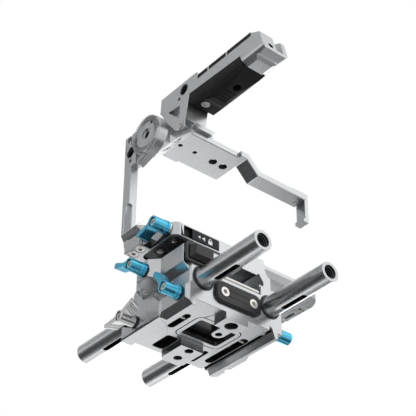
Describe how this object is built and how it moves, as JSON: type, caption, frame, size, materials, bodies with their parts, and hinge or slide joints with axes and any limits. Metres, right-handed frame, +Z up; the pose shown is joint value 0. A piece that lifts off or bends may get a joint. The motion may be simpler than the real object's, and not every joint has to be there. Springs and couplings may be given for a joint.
{
  "type": "camera cage rig",
  "caption": "Camera cage with side arm, top bridge and gripped top handle, on a quick release riser and a rod block with tubular rods, clamp levers and a tripod base.",
  "frame": {"origin": "mouth of the large tripod thread, on the plane that the base rests on", "axes": "+X to the operator's right, +Y forwards towards the lens, +Z up"},
  "size_m": [0.1633, 0.2055, 0.215],
  "materials": {
    "anodised_grey": "satin anodised",
    "anodised_dark": "satin anodised, darker",
    "rod_metal": "hard anodised, polished",
    "blue_lever": "blue anodised",
    "silver_lever": "bare machined",
    "steel_screw": "turned steel",
    "black_plastic": "matte",
    "black_metal": "black coat",
    "rubber": "soft touch"
  },
  "bodies": {
    "base": {"rod_block": "anodised_grey", "base_plate": "anodised_grey", "locating_ring": "anodised_grey", "recess_plate": "black_metal", "base_pins": "steel_screw", "base_screws": "steel_screw", "rear_pad": "black_plastic", "pad_screws": "steel_screw", "rod_collars": "black_plastic", "rod_cotters": "steel_screw", "riser": "anodised_grey", "cross_bar": "steel_screw", "riser_screws": "steel_screw", "button_housing": "black_metal", "release_spring": "steel_screw"},
    "left_rod": {"rod_left": "rod_metal"},
    "right_rod": {"rod_right": "rod_metal"},
    "left_rod_lever": {"lever_rod_left": "blue_lever", "lever_rod_left_screw": "steel_screw", "lever_rod_left_washer": "black_plastic"},
    "right_rod_lever": {"lever_rod_right": "blue_lever", "lever_rod_right_screw": "steel_screw", "lever_rod_right_washer": "black_plastic"},
    "base_lever": {"lever_base": "silver_lever", "lever_base_screw": "steel_screw", "lever_base_washer": "black_plastic"},
    "riser_lever": {"lever_riser": "blue_lever", "lever_riser_screw": "steel_screw", "lever_riser_washer": "black_plastic"},
    "button": {"release_button": "black_plastic"},
    "cage": {"dovetail_plate": "anodised_grey", "cage_plate": "anodised_grey", "plate_insert": "black_plastic", "insert_screws": "steel_screw", "cage_arm": "anodised_grey", "arm_screws": "steel_screw", "rosette": "anodised_grey", "top_bridge": "anodised_grey", "bridge_screws": "steel_screw", "handle_rail": "anodised_grey", "lug_bracket": "anodised_grey", "wing_screws": "steel_screw"},
    "cage_lever": {"lever_cage": "blue_lever", "lever_cage_screw": "steel_screw", "lever_cage_washer": "steel_screw"},
    "lock": {"lock_slider": "anodised_dark"},
    "handle": {"handle_body": "anodised_grey", "handle_grip": "rubber", "handle_inlays": "rubber", "grip_screw": "steel_screw", "handle_foot": "anodised_grey", "foot_screw": "steel_screw"}
  },
  "joints": [
    {"name": "left_rod_slide", "type": "slide", "parent": "base", "child": "left_rod", "axis": [0, 1, 0], "range_m": [-0.05, 0.05]},
    {"name": "right_rod_slide", "type": "slide", "parent": "base", "child": "right_rod", "axis": [0, 1, 0], "range_m": [-0.05, 0.05]},
    {"name": "left_rod_clamp", "type": "hinge", "parent": "base", "child": "left_rod_lever", "pos_m": [-0.0436, 0.0028, 0.0108], "axis": [1, 0, 0], "range_deg": [-60, 60]},
    {"name": "right_rod_clamp", "type": "hinge", "parent": "base", "child": "right_rod_lever", "pos_m": [0.041, 0.0028, 0.0108], "axis": [1, 0, 0], "range_deg": [0, 90]},
    {"name": "base_clamp", "type": "hinge", "parent": "base", "child": "base_lever", "pos_m": [-0.0423, 0.054, 0.0115], "axis": [1, 0, 0], "range_deg": [0, 60]},
    {"name": "riser_clamp", "type": "hinge", "parent": "base", "child": "riser_lever", "pos_m": [-0.053, 0.0297, 0.0378], "axis": [1, 0, 0], "range_deg": [-100, 0]},
    {"name": "button_press", "type": "slide", "parent": "base", "child": "button", "axis": [0, 1, 0], "range_m": [0, 0.003], "stiffness_N_per_m": 400, "springref_m": -0.003, "deforming": ["release_spring"]},
    {"name": "cage_slide", "type": "slide", "parent": "base", "child": "cage", "axis": [0, 1, 0], "range_m": [-0.015, 0.015]},
    {"name": "cage_clamp", "type": "hinge", "parent": "cage", "child": "cage_lever", "pos_m": [-0.047, 0.0125, 0.0665], "axis": [1, 0, 0], "range_deg": [-90, 0]},
    {"name": "lock_slide", "type": "slide", "parent": "cage", "child": "lock", "axis": [-1, 0, 0], "range_m": [0, 0.006]},
    {"name": "handle_slide", "type": "slide", "parent": "cage", "child": "handle", "axis": [0, 1, 0], "range_m": [-0.005, 0.005]}
  ]
}
